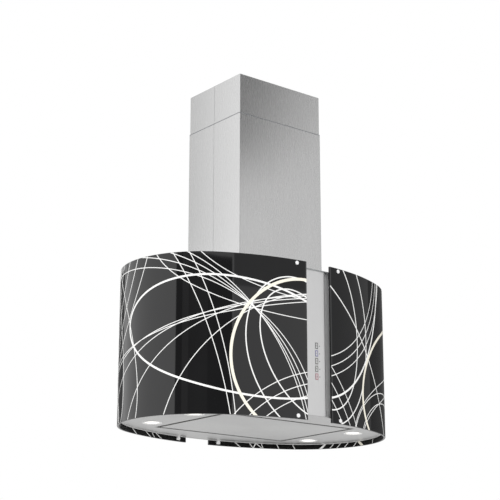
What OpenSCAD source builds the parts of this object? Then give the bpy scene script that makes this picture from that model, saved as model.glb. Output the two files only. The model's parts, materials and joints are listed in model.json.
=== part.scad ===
// Island range hood: an oval glass body with a brushed steel tray, hung from the
// ceiling by a steel frame inside a telescoping two-part flue.
// The origin is the centre of the ceiling plate's top face. +Z points up, +X runs along
// the long axis of the oval and the control side faces -Y.
// Heights named *_h are measured upwards from the lower edge of the glass.

/* [Glass body] */
// Overall width of the oval glass body
glass_w = 850; // [830:5:880]
// Overall depth of the oval glass body
glass_d = 570; // [560:2:580]
// Height of the glass
glass_h = 443; // [430:1:470]
// Thickness of the tempered glass
glass_t = 6; // [5:0.5:8]
// Radius of the two end arcs of the oval
end_r = 240; // [235:1:245]
// Width of the gap between the two glass panels, front and rear
glass_gap = 87; // [80:1:92]
// Distance of each glass fixing from the centre plane
fixing_x = 76; // [74:1:90]
// Diameter of the round glass fixings
fixing_d = 11; // [10:0.5:11.5]

/* [Flue] */
// Width of the flue
flue_w = 310; // [305:1:320]
// Depth of the flue
flue_d = 248; // [244:1:256]
// Sheet thickness of the flue
flue_t = 1.2; // [1:0.1:1.2]
// Height from the lower edge of the glass to the ceiling
total_h = 1029; // [1000:1:1080]
// Height of the seam between the upper and the lower flue
seam_h = 906.5; // [880:0.5:930]
// Travel of the lower flue when it is lifted off the body
flue_lift = 100; // [60:5:100]

/* [Underside] */
// Height of the tray's underside above the lower edge of the glass
tray_h = 15; // [14.5:0.5:18]
// Width of the suction panel
panel_w = 445; // [430:1:450]
// Depth of the suction panel
panel_d = 307; // [300:1:310]
// Width of the suction slot around the panel
slot_w = 13; // [12:0.5:15]
// Distance of each lamp from the centre, along the hood
lamp_x = 289; // [285:1:295]
// Distance of each lamp from the centre, across the hood
lamp_y = 100; // [90:1:110]
// Radius of a lamp's lens
lens_r = 24.5; // [22:0.5:26]

/* [Controls] */
// Width of the front and rear pillar covers
pillar_w = 70; // [64:1:72]
// Depth of a pillar cover
pillar_d = 11; // [10:0.5:12]
// Width of a key
key_w = 10.2; // [9:0.1:11]
// Height of a key
key_tall = 17.2; // [16:0.1:18]
// Distance between the centres of two keys
key_pitch = 21.6; // [21:0.1:23]
// Height of the middle key
key_mid_h = 168.8; // [150:1:200]
// Travel of a key
key_travel = 1; // [0.5:0.1:1]

/* [Hidden] */
$fn = 96;

// The oval is four arcs: two end arcs, and two side arcs that meet them tangentially.
end_x = glass_w / 2 - end_r;
bow = glass_d / 2 - end_r;
side_y = (end_x * end_x - bow * bow) / (2 * bow);
side_r = glass_d / 2 + side_y;
join_a = atan2(side_y, end_x);
end_n = 48;
side_n = 40;

sheet_t = 1.2;
rim_h = 20;
tab_w = 14;
tab_t = 1.8;
plate_inset = glass_t + 2;
tray_top = tray_h + sheet_t;
top_plate_h = glass_h - tray_h;
top_under = top_plate_h - sheet_t;

opening_w = panel_w + 2 * slot_w;
opening_d = panel_d + 2 * slot_w;
casing_w = opening_w + 4 * sheet_t;
casing_d = opening_d + 4 * sheet_t;

// Bend radius outside, gap between the front and rear halves, and play between the two sections.
flue_bend_r = 2.2;
flue_seam = 0.8;
flue_gap = 0.3;
strip_w = 30;
strip_t = 1.5;
rivet_r = 3;
rivet_y = 9;
upper_w = flue_w - 2 * flue_t - 2 * flue_gap;
upper_d = flue_d - 2 * flue_t - 2 * flue_gap;
upper_foot_h = 700;

upright_leg = 25;
upright_t = 2;
bracket_w = 292;
bracket_d = 230;
bracket_t = 2.5;
duct_hole_r = 92;
bolt_x = 125;
bolt_y = 100;
bolt_hole_r = 4;
upright_split_h = 720;
upright_lap = 40;
lap_bolt_h = [12, 28];
lap_bolt_r = 2.5;
lap_bolt_l = 11;
bolt_head_r = 4.5;
bolt_head_h = 3;
bolt_nut_h = 4;
bolt_play = 0.1;
brace_h = [560, 860];
brace_w = 20;

gland_x = -110;
gland_y = 70;
gland_r = 9.5;
cable_r = 5;
gland_nut_r = 13;

bezel_w = 3.5;
bezel_t = 1.2;
lens_t = 3;
can_h = 28;
fin_h = 12;

pillar_inset = 15;
pillar_y = glass_d / 2 - pillar_inset;
pillar_bend_r = 3;
channel_w = 124;
channel_d = 20;
channel_y = pillar_y - pillar_d;

hinge_x = 150;
hinge_y = panel_d / 2 - 4.5;
hinge_h = tray_h + 8;
hinge_pin_r = 2;
ear_t = 2;
ear_x = 4.5;
knuckle_r = 5;
knuckle_w = 6;
panel_edge_h = 12;
catch_y = -panel_d / 2 + 8;
catch_pin_r = 3;
catch_w = 16;
hinge_play = 0.05;

filter_h = 60;
filter_t = 10;
filter_w = 232;
filter_d = 318;
rail_w = 12;
filter_bar = 12;
filter_skin = 2;
filter_play = 1.5;
filter_x = filter_w / 2 + filter_play;
filter_mid = casing_d / 2 - sheet_t - filter_play - filter_d / 2;
latch_w = 30;
latch_travel = 8;
latch_y = -3.4;
tongue_l = 9;
tab_l = 25.4;
tab_y = 20;

fan_y = -34;
fan_h = 270;
scroll_r = 112;
scroll_w = 144;
scroll_t = 2.5;
outlet_w = 140;
outlet_h = 150;
outlet_y0 = -62;
outlet_lip = 8;
inlet_r = 62;
wheel_r = 88;
wheel_w = 120;
blade_n = 36;
blade_a = 25;
wheel_rim = 14;
hub_r = 12;
shaft_r = 4;
can_r = 40;
can_t = 2;
rotor_r = 22;
bearing_r = 11;

collar_r = 75;
collar_t = 1.5;
collar_h = 45;
collar_flange = 14;
flap_y = 4;
flap_h = top_plate_h + 12;
rod_r = 1.5;
flap_r = collar_r - collar_t - 1;
flap_t = 1.5;
flap_w = 120;
flap_knuckle_r = 2.8;

key_x = 1.5;
key_play = 0.4;
key_flange = 1;
key_proud = 0.5;
key_cap_d = 3.2;
key_back = key_cap_d - key_proud;
key_flange_t = 0.9;
key_stem_r = 2;
led_x = 12.7;
led_r = 1.3;

box_w = 74;
box_d = 170;
box_h = 90;
box_x = -casing_w / 2 - box_w / 2;
box_foot_h = 310;

fixing_h = 9;
stud_r = 2;
stud_play = 0.3;
nut_t = 3;
glass_gap_a = asin(glass_gap / 2 / side_r);
SIDES = [-1, 1];

// ---------- shared shapes ----------

module hang(h = 0) translate([0, 0, h - total_h]) children();

// A block centred in X and Y that stands on z = 0.
module slab(w, d, h) translate([-w / 2, -d / 2, 0]) cube([w, d, h]);

// A hollow rectangular sleeve that stands on z = 0.
module sleeve(w, d, h, t) difference() {
  slab(w, d, h);
  translate([0, 0, -1]) slab(w - 2 * t, d - 2 * t, h + 2);
}

// One cylinder along X, from x0 to x1.
module rod_x(r, x0, x1) translate([x0, 0, 0]) rotate([0, 90, 0]) cylinder(r = r, h = x1 - x0);

// Points on an arc, from its first angle up to but not including its last.
function arc_points(x, y, r, from, to, n) =
  [for (i = [0 : n - 1]) let (a = from + (to - from) * i / n) [x + r * cos(a), y + r * sin(a)]];

// The rear half of the oval outline, from the join at the right to the join at the left.
function half_oval(inset) = concat(
  arc_points(end_x, 0, end_r - inset, -join_a, join_a, end_n),
  arc_points(0, -side_y, side_r - inset, join_a, 180 - join_a, side_n));

// A flat oval plate, set in from the glass's outer face.
module oval_plate(inset, t) linear_extrude(t)
  polygon(concat(half_oval(inset), [for (p = half_oval(inset)) -p]));

// Places its children at a glass fixing, with +X pointing out of the glass.
module at_fixing(sx, sy) translate([0, -sy * side_y, 0])
  rotate([0, 0, sy * (90 - sx * asin(fixing_x / side_r))]) translate([side_r, 0, 0]) children();

module at_all_fixings() for (sx = SIDES) for (sy = SIDES) at_fixing(sx, sy) children();

// ---------- hanging frame ----------

module ceiling_bracket() color("silver") hang(total_h - bracket_t) difference() {
  slab(bracket_w, bracket_d, bracket_t);
  translate([0, 0, -1]) cylinder(r = duct_hole_r, h = bracket_t + 2);
  translate([gland_x, gland_y, -1]) cylinder(r = gland_r + 1, h = bracket_t + 2);
  for (sx = SIDES) for (sy = SIDES) translate([sx * bolt_x, sy * bolt_y, -1])
    cylinder(r = bolt_hole_r, h = bracket_t + 2);
}

// An upright with an L section, its corner on the origin and its legs towards -X and -Y.
// Its two bolt holes are measured from height lap. An upright that stands inside another
// one's corner has nest as the outer one's thickness, so that the holes of both line up.
module upright(h, lap, nest) difference() {
  union() {
    translate([-upright_leg, -upright_t, 0]) cube([upright_leg, upright_t, h]);
    translate([-upright_t, -upright_leg, 0]) cube([upright_t, upright_leg, h]);
  }
  for (b = lap_bolt_h) translate([nest - upright_leg / 2, 1, lap + b])
    rotate([90, 0, 0]) cylinder(r = lap_bolt_r + bolt_play, h = upright_t + 2);
}

module at_corners(w, d) for (sx = SIDES) for (sy = SIDES)
  mirror([sx < 0 ? 1 : 0, 0, 0]) mirror([0, sy < 0 ? 1 : 0, 0])
    translate([w / 2, d / 2, 0]) children();

module upper_uprights() color("silver") hang(upright_split_h)
  at_corners(bracket_w, bracket_d) upright(total_h - bracket_t - upright_split_h, 0, 0);

module lower_uprights() color("silver") hang(top_plate_h)
  at_corners(bracket_w - 2 * upright_t, bracket_d - 2 * upright_t) {
    upright(upright_split_h + upright_lap - top_plate_h, upright_split_h - top_plate_h, upright_t);
    translate([-upright_leg, -upright_leg, 0])
      cube([upright_leg - upright_t, upright_leg - upright_t, upright_t]);
  }

module cross_braces() color("silver") for (h = brace_h) hang(h) {
  inset = h > upright_split_h ? upright_t : 2 * upright_t;
  sleeve(bracket_w - 2 * inset, bracket_d - 2 * inset, brace_w, upright_t);
}

// Lap bolts: a round head outside, a shank through both legs and a hexagonal nut inside.
module frame_bolts() color("dimgray") for (h = lap_bolt_h) hang(upright_split_h + h)
  at_corners(bracket_w, bracket_d) translate([-upright_leg / 2, 0, 0]) rotate([90, 0, 0]) {
    translate([0, 0, -bolt_head_h]) cylinder(r = bolt_head_r, h = bolt_head_h);
    translate([0, 0, -1]) cylinder(r = lap_bolt_r, h = lap_bolt_l);
    translate([0, 0, 2 * upright_t]) cylinder(r = bolt_head_r + 0.1, h = bolt_nut_h, $fn = 6);
  }

// ---------- flue ----------

// A rectangle centred on the origin, with round corners.
module round_rect(w, d, r) {
  square([w - 2 * r, d], center = true);
  square([w, d - 2 * r], center = true);
  for (sx = SIDES) for (sy = SIDES) translate([sx * (w / 2 - r), sy * (d / 2 - r)]) circle(r);
}

// Half of a flue section: a U of sheet steel, open towards the other half.
module flue_half(w, d, h, side) linear_extrude(h) difference() {
  round_rect(w, d, flue_bend_r);
  round_rect(w - 2 * flue_t, d - 2 * flue_t, flue_bend_r - flue_t);
  translate([-w, side < 0 ? -flue_seam / 2 : -d - flue_seam / 2]) square([2 * w, d + flue_seam]);
}

module upper_flue_front() color("gainsboro") hang(upper_foot_h)
  flue_half(upper_w, upper_d, total_h - upper_foot_h, -1);

module upper_flue_rear() color("gainsboro") hang(upper_foot_h)
  flue_half(upper_w, upper_d, total_h - upper_foot_h, 1);

module lower_flue_front() color("gainsboro") hang(top_plate_h)
  flue_half(flue_w, flue_d, seam_h - top_plate_h, -1);

module lower_flue_rear() color("gainsboro") hang(top_plate_h)
  flue_half(flue_w, flue_d, seam_h - top_plate_h, 1);

// Joining strips inside the side seams of a flue section.
module seam_strips(w, h) for (s = SIDES) translate([s * (w / 2 - flue_t - strip_t / 2), 0, 0]) {
  slab(strip_t, strip_w, h);
  for (sy = SIDES) for (k = [0.2, 0.8]) translate([-s * strip_t / 2, sy * rivet_y, k * h])
    rotate([0, -s * 90, 0]) cylinder(r = rivet_r, h = 2);
}

module upper_flue_strips() color("silver") hang(upper_foot_h + 10)
  seam_strips(upper_w, total_h - upper_foot_h - 40);

module lower_flue_strips() color("silver") hang(top_plate_h + 6)
  seam_strips(flue_w, upper_foot_h - flue_lift - top_plate_h - 16);

// ---------- plates and casing ----------

// The tray and the top plate share this dish: an oval plate, a rim and glass tabs.
module dish() {
  difference() {
    oval_plate(plate_inset, rim_h);
    translate([0, 0, sheet_t]) oval_plate(plate_inset + sheet_t, rim_h);
    for (s = SIDES) translate([0, s * glass_d / 2, sheet_t]) slab(glass_gap, 60, rim_h);
  }
  at_all_fixings() difference() {
    translate([-plate_inset - 0.3, -tab_w / 2, 3.5 - tray_h]) cube([tab_t, tab_w, tray_h + 10]);
    translate([0, 0, fixing_h - tray_h]) rod_x(stud_r + stud_play, -plate_inset - 1, -1);
  }
}

module top_plate() color("silver") hang(top_plate_h) mirror([0, 0, 1]) difference() {
  dish();
  translate([0, 0, -1]) cylinder(r = collar_r - 3, h = 4);
  translate([gland_x, gland_y, -1]) cylinder(r = gland_r + 0.5, h = 4);
}

module tray() color("lightgray") hang(tray_h) difference() {
  union() {
    dish();
    slab(opening_w + 2 * sheet_t, opening_d + 2 * sheet_t, rim_h);
  }
  translate([0, 0, -1]) slab(opening_w, opening_d, rim_h + 2);
  for (sx = SIDES) for (sy = SIDES) translate([sx * lamp_x, sy * lamp_y, -1])
    cylinder(r = lens_r + 1.5, h = 5);
}

module inner_casing() color("silver") hang(tray_top)
  sleeve(casing_w, casing_d, top_under - tray_top, sheet_t);

module filter_rails() color("silver") hang(filter_h - sheet_t) {
  inner_w = casing_w - 2 * sheet_t;
  inner_d = casing_d - 2 * sheet_t;
  for (s = SIDES) translate([0, s * (inner_d - rail_w) / 2, 0]) slab(inner_w, rail_w, sheet_t);
  slab(sheet_t, inner_d - 2 * rail_w, filter_t + sheet_t);
}

// ---------- suction panel ----------

module panel_ears(s) for (e = SIDES)
  translate([s * hinge_x + e * ear_x - ear_t / 2, hinge_y - knuckle_r, 0])
    cube([ear_t, 8, hinge_h - tray_h + knuckle_r]);

module suction_panel() color("lightgray") hang(tray_h) difference() {
  union() {
    difference() {
      slab(panel_w, panel_d, panel_edge_h);
      translate([0, 0, sheet_t]) slab(panel_w - 2 * sheet_t, panel_d - 2 * sheet_t, panel_edge_h);
      for (s = SIDES) translate([s * hinge_x, panel_d / 2, sheet_t]) slab(30, 6, panel_edge_h);
    }
    for (s = SIDES) panel_ears(s);
    for (s = SIDES) translate([s * hinge_x, catch_y, 0]) cylinder(r = catch_pin_r, h = 22);
  }
  for (s = SIDES) translate([s * hinge_x, hinge_y, hinge_h - tray_h]) rod_x(hinge_pin_r, -9, 9);
}

module hinge_pins() color("dimgray") for (s = SIDES) translate([s * hinge_x, hinge_y, 0])
  hang(hinge_h) {
    rod_x(hinge_pin_r, -7, 7);
    rod_x(3.2, 5.5, 7);
  }

// Goosenecks that reach over the slot and hold the hinge pins.
module hinge_arms() color("silver") for (s = SIDES) translate([s * hinge_x, 0, 0]) hang(hinge_h)
  difference() {
    union() {
      translate([0, hinge_y, 0]) rod_x(knuckle_r, -knuckle_w / 2, knuckle_w / 2);
      translate([-knuckle_w / 2, hinge_y - 4, 0]) cube([knuckle_w, 8, 17]);
      translate([-knuckle_w / 2, hinge_y - 4, 13])
        cube([knuckle_w, casing_d / 2 - sheet_t - hinge_y + 4, 4]);
    }
    translate([0, hinge_y, 0]) rod_x(hinge_pin_r + hinge_play, -4, 4);
  }

module panel_catches() color("dimgray") for (s = SIDES)
  translate([s * hinge_x, catch_y, 0]) hang(tray_h + 13) difference() {
    wall_y = -casing_d / 2 + sheet_t - catch_y;
    union() {
      slab(catch_w, 12, 14);
      translate([-catch_w / 2, wall_y, 10]) cube([catch_w, -wall_y, 4]);
    }
    translate([0, 0, -1]) cylinder(r = catch_pin_r + 0.5, h = 11);
  }

// ---------- grease filters ----------

// A flat frame with a pocket in its front bar, in which the latch's tongue slides.
module filter_frame(s) color("silver") translate([s * filter_x, filter_mid, 0]) hang(filter_h)
  difference() {
    slab(filter_w, filter_d, filter_t);
    translate([0, 0, -1]) slab(filter_w - 2 * filter_bar, filter_d - 2 * filter_bar, filter_t + 2);
    translate([0, 0, filter_skin]) filter_core();
    translate([-latch_w / 2 - 0.6, -filter_d / 2 - 1, -1]) cube([latch_w + 1.2, latch_travel + 1, 3]);
  }

module filter_core() slab(filter_w - 8, filter_d - 8, filter_t - 2 * filter_skin);

module filter_frame_left() filter_frame(-1);

module filter_frame_right() filter_frame(1);

module filter_meshes() color("gray") for (s = SIDES) translate([s * filter_x, filter_mid, 0])
  hang(filter_h + filter_skin) filter_core();

// A sliding latch: its tongue lies on the front rail and its tab hangs below the filter.
// It slides back by latch_travel to free the filter.
module filter_latch(s) color("dimgray") translate([s * filter_x, filter_mid - filter_d / 2, 0])
  hang(filter_h) {
    translate([-latch_w / 2, -tongue_l - 1, 0.3]) cube([latch_w, tongue_l, 1.3]);
    translate([-latch_w / 2, latch_y, -7]) cube([latch_w, 2.4, 8.6]);
    translate([-latch_w / 2, latch_y, -7]) cube([latch_w, tab_l, 3]);
    translate([-latch_w / 2, tab_y, -14]) cube([latch_w, 2, 10]);
  }

module filter_latch_left() filter_latch(-1);

module filter_latch_right() filter_latch(1);

// ---------- blower ----------

module at_fan() translate([0, fan_y, 0]) hang(fan_h) children();

module scroll_body(grow, w) {
  rod_x(scroll_r + grow, -w / 2, w / 2);
  translate([-w / 2, outlet_y0 - fan_y - grow, 0])
    cube([w, outlet_w + 2 * grow, outlet_h + grow]);
}

module scroll_half(s) color("black") at_fan() intersection() {
  difference() {
    scroll_body(0, scroll_w);
    difference() {
      scroll_body(-scroll_t, scroll_w - 2 * scroll_t);
      translate([-scroll_w, -200, outlet_h - 3]) cube([2 * scroll_w, 400, 20]);
    }
    rod_x(inlet_r, -100, 100);
    translate([-60, outlet_y0 - fan_y + outlet_lip, outlet_h - 10])
      cube([120, outlet_w - 2 * outlet_lip, 20]);
  }
  translate([s < 0 ? -scroll_w : 0, -150, -150]) cube([scroll_w, 300, 320]);
}

module scroll_left() scroll_half(-1);

module scroll_right() scroll_half(1);

// Bell mouths round the two inlets.
module inlet_rings() color("dimgray") at_fan() for (s = SIDES) rotate([0, s * 90, 0])
  translate([0, 0, scroll_w / 2]) rotate_extrude() difference() {
    translate([inlet_r, 0]) square([8, 6]);
    translate([inlet_r, 6]) circle(4);
  }

module motor_bracket() color("silver") at_fan() {
  for (a = [90, 210, 330]) rotate([a, 0, 0]) {
    translate([-82, -6, can_r]) cube([2, 12, 38]);
    translate([-82, -6, 72]) cube([10, 12, 4]);
  }
  difference() {
    rod_x(can_r + can_t, -82, -76);
    rod_x(can_r, -83, -75);
  }
}

module motor_can() color("gray") at_fan() difference() {
  rod_x(can_r, -86, -8);
  rod_x(can_r - can_t, -83, -11);
  rod_x(bearing_r, -90, 0);
}

module motor_stator() color("darkorange") at_fan() difference() {
  rod_x(can_r - can_t, -70, -28);
  rod_x(rotor_r + 1, -71, -27);
}

module motor_bearings() color("silver") at_fan() for (x = [-86, -14]) difference() {
  rod_x(bearing_r, x, x + 6);
  rod_x(shaft_r + 0.05, x - 1, x + 7);
}

module motor_shaft() color("silver") at_fan() {
  rod_x(shaft_r, -92, 22);
  rod_x(rotor_r, -68, -30);
}

module impeller() color("dimgray") at_fan() {
  difference() {
    union() {
      rod_x(wheel_r, -1, 1);
      rod_x(hub_r, -4, 18);
    }
    rod_x(shaft_r, -5, 19);
  }
  for (x = [-wheel_w / 2, wheel_w / 2 - 3]) difference() {
    rod_x(wheel_r, x, x + 3);
    rod_x(wheel_r - wheel_rim, x - 1, x + 4);
  }
  for (k = [0 : blade_n - 1]) rotate([k * 360 / blade_n, 0, 0])
    translate([-wheel_w / 2 + 1, 0, wheel_r - wheel_rim + 1]) rotate([blade_a, 0, 0])
      cube([wheel_w - 2, 1.2, wheel_rim - 2]);
}

module blower_mounts() color("black") hang(fan_h + outlet_h) for (sx = SIDES) for (y = [-50, 66])
  translate([sx * 64, y, 0]) cylinder(r = 5, h = top_under - fan_h - outlet_h);

// ---------- outlet and back-draught damper ----------

module outlet_collar() color("black") hang(top_plate_h) difference() {
  union() {
    cylinder(r = collar_r, h = collar_h);
    cylinder(r = collar_r + collar_flange, h = 2);
  }
  translate([0, 0, -1]) cylinder(r = collar_r - collar_t, h = collar_h + 2);
}

module damper_rods() color("silver") for (s = SIDES) translate([0, s * flap_y, 0]) hang(flap_h)
  rod_x(rod_r, -collar_r + 0.9, collar_r - 0.9);

// A half disc with a knuckle that turns on its rod.
module damper_flap(s) color("gray") hang(flap_h) {
  difference() {
    translate([0, s * flap_y, 0]) rod_x(flap_knuckle_r, -flap_w / 2, flap_w / 2);
    translate([0, s * flap_y, 0]) rod_x(rod_r + 0.05, -flap_w, flap_w);
  }
  intersection() {
    translate([0, 0, -flap_t / 2]) cylinder(r = flap_r, h = flap_t);
    translate([-flap_w / 2, s < 0 ? -100 : flap_y + 2.3, -1]) cube([flap_w, 100 - flap_y - 2.3, 2]);
  }
}

module damper_flap_front() damper_flap(-1);

module damper_flap_rear() damper_flap(1);

// ---------- electrics ----------

module control_box() color("gray") translate([box_x, 0, 0]) hang(box_foot_h) difference() {
  slab(box_w, box_d, box_h);
  translate([-2, 0, 2]) slab(box_w, box_d - 4, box_h - 4);
}

module control_box_lid() color("dimgray") translate([box_x - box_w / 2 - 1, 0, 0])
  hang(box_foot_h) slab(2, box_d, box_h);

module main_board() color("darkgreen") translate([box_x + 20, 0, 0]) hang(box_foot_h + 12) {
  slab(1.6, box_d - 20, box_h - 24);
  translate([-11, -40, 8]) slab(20, 30, 24);
  translate([-11, 0, 34]) rotate([-90, 0, 0]) cylinder(r = 9, h = 42);
  translate([-9, 10, 4]) slab(16, 60, 14);
}

module mains_gland() color("black") translate([gland_x, gland_y, 0]) hang(top_under - 4) difference() {
  union() {
    cylinder(r = gland_r, h = 20);
    cylinder(r = gland_nut_r, h = 4, $fn = 6);
    translate([0, 0, sheet_t + 4]) cylinder(r = gland_nut_r, h = 5, $fn = 6);
  }
  translate([0, 0, -1]) cylinder(r = cable_r, h = 30);
}

// ---------- lamps ----------

module at_lamps() for (sx = SIDES) for (sy = SIDES) translate([sx * lamp_x, sy * lamp_y, 0])
  hang(tray_h) children();

module lamp_bezels() color("silver") at_lamps() rotate_extrude() {
  translate([lens_r, -bezel_t]) square([bezel_w, bezel_t]);
  translate([lens_r, -bezel_t]) square([1.4, 8]);
}

module lamp_lenses() color("white") at_lamps() translate([0, 0, 0.5]) cylinder(r = lens_r, h = lens_t);

module lamp_cans() color("dimgray") at_lamps() {
  difference() {
    translate([0, 0, lens_t + 0.5]) cylinder(r = lens_r, h = can_h);
    translate([0, 0, lens_t + 0.4]) cylinder(r = lens_r - 1.5, h = can_h - 2);
  }
  for (k = [-3 : 3]) translate([k * 6, 0, lens_t + 0.5 + can_h]) slab(1.6, 30, fin_h);
}

// ---------- pillars and controls ----------

// A pillar cover: a shallow U with softened front corners, its open side towards +Y.
module pillar_cover(h) linear_extrude(h) difference() {
  flat_w = pillar_w - 2 * pillar_bend_r;
  union() {
    translate([-pillar_w / 2, pillar_bend_r]) square([pillar_w, pillar_d - pillar_bend_r]);
    translate([-flat_w / 2, 0]) square([flat_w, pillar_d]);
    for (s = SIDES) translate([s * flat_w / 2, pillar_bend_r]) circle(pillar_bend_r);
  }
  translate([-pillar_w / 2 + sheet_t, sheet_t]) square([pillar_w - 2 * sheet_t, pillar_d]);
}

function key_h(i) = key_mid_h + (2 - i) * key_pitch;

module front_pillar() color("lightgray") translate([0, -pillar_y, 0]) difference() {
  hang(tray_top) pillar_cover(top_under - tray_top);
  for (i = [0 : 4]) {
    translate([key_x, 0, 0]) hang(key_h(i) - key_tall / 2 - key_play)
      slab(key_w + 2 * key_play, 2 * sheet_t + 2, key_tall + 2 * key_play);
    translate([led_x, -1, 0]) hang(key_h(i)) rotate([-90, 0, 0]) cylinder(r = led_r + 0.1, h = 4);
  }
}

module rear_pillar() color("lightgray") rotate([0, 0, 180]) translate([0, -pillar_y, 0])
  hang(tray_top) pillar_cover(top_under - tray_top);

// The steel channel behind a pillar cover, from the tray to the top plate.
module channel() translate([0, -channel_y, 0]) hang(tray_top) difference() {
  translate([-channel_w / 2, 0, 0]) cube([channel_w, channel_d, top_under - tray_top]);
  translate([-channel_w / 2 + sheet_t, sheet_t, -1])
    cube([channel_w - 2 * sheet_t, channel_d, glass_h]);
}

module front_channel() color("gray") channel();

module rear_channel() color("gray") rotate([0, 0, 180]) channel();

module keypad_board() color("darkgreen") translate([0, -channel_y, 0]) {
  hang(key_h(4) - 16) translate([-13, -3.6, 0]) cube([30, 1.6, 4 * key_pitch + 32]);
  for (i = [0 : 4]) {
    translate([key_x, -4.2, 0]) hang(key_h(i) - 3) slab(6, 1.4, 6);
    for (s = SIDES) translate([s * 10 + 2, -3, 0]) hang(key_h(i) + 10)
      rotate([-90, 0, 0]) cylinder(r = 1.5, h = 3);
  }
}

module led_windows() color("white") translate([led_x, -pillar_y + 0.1, 0])
  for (i = [0 : 4]) hang(key_h(i)) rotate([-90, 0, 0]) cylinder(r = led_r, h = 7.2);

// A key: a cap with a thin flange behind the cover, and a stem towards its switch.
module key(i) color("lightgray") translate([key_x, -pillar_y, 0]) hang(key_h(i)) {
  translate([-key_w / 2, -key_proud, -key_tall / 2]) cube([key_w, key_cap_d, key_tall]);
  translate([-key_w / 2 - key_flange, key_back - key_flange_t, -key_tall / 2 - key_flange])
    cube([key_w + 2 * key_flange, key_flange_t, key_tall + 2 * key_flange]);
  translate([0, 2, 0]) rotate([-90, 0, 0]) cylinder(r = key_stem_r, h = 3.8 - key_travel);
}

module key_light() key(0);

module key_fan_down() key(1);

module key_fan_up() key(2);

module key_boost() key(3);

module key_timer() key(4);

// ---------- glass ----------

// One face of the right panel's outline, from the front gap round to the rear gap.
function panel_face(inset) = concat(
  arc_points(0, side_y, side_r - inset, glass_gap_a - 90, -join_a, side_n / 2),
  arc_points(end_x, 0, end_r - inset, -join_a, join_a, end_n),
  arc_points(0, -side_y, side_r - inset, join_a, 90 - glass_gap_a, side_n / 2),
  [[(side_r - inset) * sin(glass_gap_a), (side_r - inset) * cos(glass_gap_a) - side_y]]);

function backwards(list) = [for (i = [len(list) - 1 : -1 : 0]) list[i]];

module glass_panel() difference() {
  linear_extrude(glass_h) polygon(concat(panel_face(0), backwards(panel_face(glass_t))));
  for (sy = SIDES) for (h = [fixing_h, glass_h - fixing_h]) at_fixing(1, sy)
    translate([0, 0, h]) rod_x(stud_r + 0.5, -glass_t - 1, 1);
}

module right_glass() color("black") hang() glass_panel();

module left_glass() color("black") rotate([0, 0, 180]) hang() glass_panel();

module glass_caps() color("silver") for (h = [fixing_h, glass_h - fixing_h]) hang(h)
  at_all_fixings() {
    rod_x(fixing_d / 2, 0.1, 2);
    translate([2, 0, 0]) rotate([0, 90, 0]) cylinder(r1 = fixing_d / 2, r2 = fixing_d / 2 - 1, h = 1);
    rod_x(stud_r, -plate_inset - 3, 1);
  }

module glass_nuts() color("silver") for (h = [fixing_h, glass_h - fixing_h]) hang(h)
  at_all_fixings() difference() {
    rod_x(fixing_d / 2, -plate_inset - nut_t - 0.4, -plate_inset - 0.4);
    rod_x(stud_r, -plate_inset - 4, -plate_inset);
  }

ceiling_bracket();
upper_uprights();
lower_uprights();
cross_braces();
frame_bolts();
upper_flue_front();
upper_flue_rear();
upper_flue_strips();
lower_flue_front();
lower_flue_rear();
lower_flue_strips();
top_plate();
inner_casing();
tray();
suction_panel();
hinge_arms();
hinge_pins();
panel_catches();
filter_rails();
filter_frame_left();
filter_frame_right();
filter_meshes();
filter_latch_left();
filter_latch_right();
scroll_left();
scroll_right();
inlet_rings();
motor_bracket();
motor_can();
motor_stator();
motor_bearings();
motor_shaft();
impeller();
blower_mounts();
outlet_collar();
damper_rods();
damper_flap_front();
damper_flap_rear();
control_box();
control_box_lid();
main_board();
mains_gland();
lamp_cans();
lamp_bezels();
lamp_lenses();
front_pillar();
front_channel();
keypad_board();
led_windows();
key_light();
key_fan_down();
key_fan_up();
key_boost();
key_timer();
rear_pillar();
rear_channel();
left_glass();
right_glass();
glass_caps();
glass_nuts();
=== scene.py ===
"""An island range hood: its looks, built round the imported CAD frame. Metres, +Z up, controls at -Y."""
import json
import math

import bmesh
import bpy
from mathutils import Matrix, Vector


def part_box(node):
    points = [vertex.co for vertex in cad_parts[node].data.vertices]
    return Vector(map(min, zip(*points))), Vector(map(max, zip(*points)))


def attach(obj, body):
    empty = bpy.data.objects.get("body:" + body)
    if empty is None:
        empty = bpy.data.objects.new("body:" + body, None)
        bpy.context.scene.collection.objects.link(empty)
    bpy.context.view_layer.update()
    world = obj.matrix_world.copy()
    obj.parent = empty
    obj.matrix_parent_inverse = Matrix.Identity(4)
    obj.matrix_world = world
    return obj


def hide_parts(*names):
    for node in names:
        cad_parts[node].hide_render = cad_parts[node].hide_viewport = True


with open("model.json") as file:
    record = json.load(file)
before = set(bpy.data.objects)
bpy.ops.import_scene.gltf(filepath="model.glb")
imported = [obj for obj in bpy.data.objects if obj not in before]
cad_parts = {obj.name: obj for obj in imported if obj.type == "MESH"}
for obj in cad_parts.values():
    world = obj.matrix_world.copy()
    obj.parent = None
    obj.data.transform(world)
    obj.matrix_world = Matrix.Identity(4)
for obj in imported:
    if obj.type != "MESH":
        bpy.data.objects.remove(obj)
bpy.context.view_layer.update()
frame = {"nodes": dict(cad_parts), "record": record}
MM = 0.001

# ---------- camera and studio ----------

# The camera stands in front of the hood, to its left and below it. Angles are in degrees.
CAMERA_PLACE = (-2.470, -3.076, -1.601)
CAMERA_YAW = 38.56
CAMERA_PITCH = 14.79
CAMERA_LENS = 99.38
CAMERA_SHIFT = 0.05

LIGHT_STRENGTH = 0.9
LIGHT_SPREAD = 50
LIGHT_TILT = 78
LIGHT_TURN = -50
WORLD_STRENGTH = 1.0

FLOOR_Z = -4.75
FLOOR_RADIUS = 40.0
FLOOR_COLOUR = (0.86, 0.86, 0.86)
FLOOR_SEGMENTS = 96

CARD_RADIUS = 4.5
CARD_CENTRE_Z = -0.8
CARD_STEPS = 72

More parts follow.
